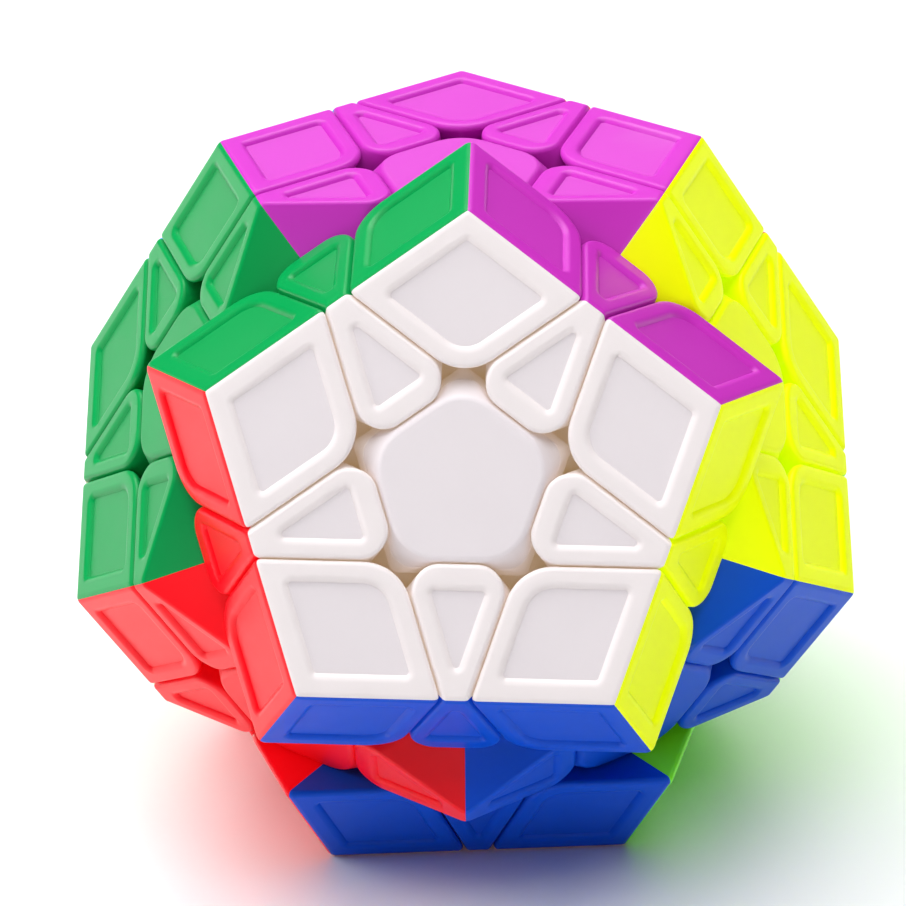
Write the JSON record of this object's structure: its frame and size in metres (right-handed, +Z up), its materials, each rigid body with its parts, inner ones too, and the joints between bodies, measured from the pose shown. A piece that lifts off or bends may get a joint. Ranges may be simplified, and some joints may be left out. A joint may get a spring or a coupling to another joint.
{
  "type": "dodecahedron twisty puzzle",
  "caption": "Twelve-sided twisty puzzle of coloured corner, edge and centre pieces held on a hidden core; its layers turn about axes through their faces.",
  "frame": {"origin": "middle of the pink face, which the puzzle stands on", "axes": "+Z up through the core to the magenta face; -Y towards the front, with the white face's axis in the YZ plane; +X to the right as seen from the front"},
  "size_m": [0.0822, 0.0845, 0.0758],
  "materials": {
    "white_plastic": "semi-gloss moulded ABS, warm white",
    "pink_plastic": "semi-gloss moulded ABS, pink",
    "orange_plastic": "semi-gloss moulded ABS, orange",
    "magenta_plastic": "semi-gloss moulded ABS, magenta",
    "yellow_plastic": "semi-gloss moulded ABS, neon yellow",
    "green_plastic": "semi-gloss moulded ABS, green",
    "blue_plastic": "semi-gloss moulded ABS, blue",
    "red_plastic": "semi-gloss moulded ABS, red",
    "light_blue_plastic": "semi-gloss moulded ABS, light blue",
    "lime_plastic": "semi-gloss moulded ABS, lime green",
    "cream_plastic": "semi-gloss moulded ABS, cream yellow",
    "core_plastic": "natural moulded nylon, hidden inside",
    "steel": "plain bright steel"
  },
  "bodies": {
    "core": {"axle_screw_orange": "steel", "axle_screw_pink": "steel", "axle_screw_white": "steel", "core_with_locked_centres": "core_plastic", "corner_green_cream_red": "green_plastic", "corner_green_light_blue_cream": "green_plastic", "corner_light_blue_grey_cream": "light_blue_plastic", "corner_magenta_light_blue_green": "magenta_plastic", "corner_yellow_blue_lime": "yellow_plastic", "edge_blue_lime": "blue_plastic", "edge_blue_red": "blue_plastic", "edge_cream_grey": "cream_plastic", "edge_green_cream": "green_plastic", "edge_green_light_blue": "green_plastic", "edge_green_red": "green_plastic", "edge_light_blue_cream": "light_blue_plastic", "edge_light_blue_grey": "light_blue_plastic", "edge_lime_grey": "lime_plastic", "edge_magenta_green": "magenta_plastic", "edge_magenta_light_blue": "magenta_plastic", "edge_magenta_yellow": "magenta_plastic", "edge_red_cream": "red_plastic", "edge_yellow_blue": "yellow_plastic", "edge_yellow_lime": "yellow_plastic"},
    "white_layer": {"centre_cap_white": "white_plastic", "centre_hub_white": "white_plastic", "corner_white_blue_yellow": "white_plastic", "corner_white_green_red": "white_plastic", "corner_white_magenta_green": "white_plastic", "corner_white_red_blue": "white_plastic", "corner_white_yellow_magenta": "white_plastic", "edge_white_blue": "white_plastic", "edge_white_green": "white_plastic", "edge_white_magenta": "white_plastic", "edge_white_red": "white_plastic", "edge_white_yellow": "white_plastic"},
    "pink_layer": {"centre_cap_pink": "pink_plastic", "centre_hub_pink": "pink_plastic", "corner_pink_blue_red": "pink_plastic", "corner_pink_cream_grey": "pink_plastic", "corner_pink_grey_lime": "pink_plastic", "corner_pink_lime_blue": "pink_plastic", "corner_pink_red_cream": "pink_plastic", "edge_pink_blue": "pink_plastic", "edge_pink_cream": "pink_plastic", "edge_pink_grey": "pink_plastic", "edge_pink_lime": "pink_plastic", "edge_pink_red": "pink_plastic"},
    "orange_layer": {"centre_cap_orange": "orange_plastic", "centre_hub_orange": "orange_plastic", "corner_orange_grey_light_blue": "orange_plastic", "corner_orange_light_blue_magenta": "orange_plastic", "corner_orange_lime_grey": "orange_plastic", "corner_orange_magenta_yellow": "orange_plastic", "corner_orange_yellow_lime": "orange_plastic", "edge_orange_grey": "orange_plastic", "edge_orange_light_blue": "orange_plastic", "edge_orange_lime": "orange_plastic", "edge_orange_magenta": "orange_plastic", "edge_orange_yellow": "orange_plastic"}
  },
  "joints": [
    {"name": "white_turn", "type": "hinge", "parent": "core", "child": "white_layer", "pos_m": [0, 0, 0.035], "axis": [0, -0.8944, 0.4472], "continuous": true},
    {"name": "pink_turn", "type": "hinge", "parent": "core", "child": "pink_layer", "pos_m": [0, 0, 0.035], "axis": [0, 0, -1], "continuous": true},
    {"name": "orange_turn", "type": "hinge", "parent": "core", "child": "orange_layer", "pos_m": [0, 0, 0.035], "axis": [0.5257, 0.7236, 0.4472], "continuous": true}
  ]
}
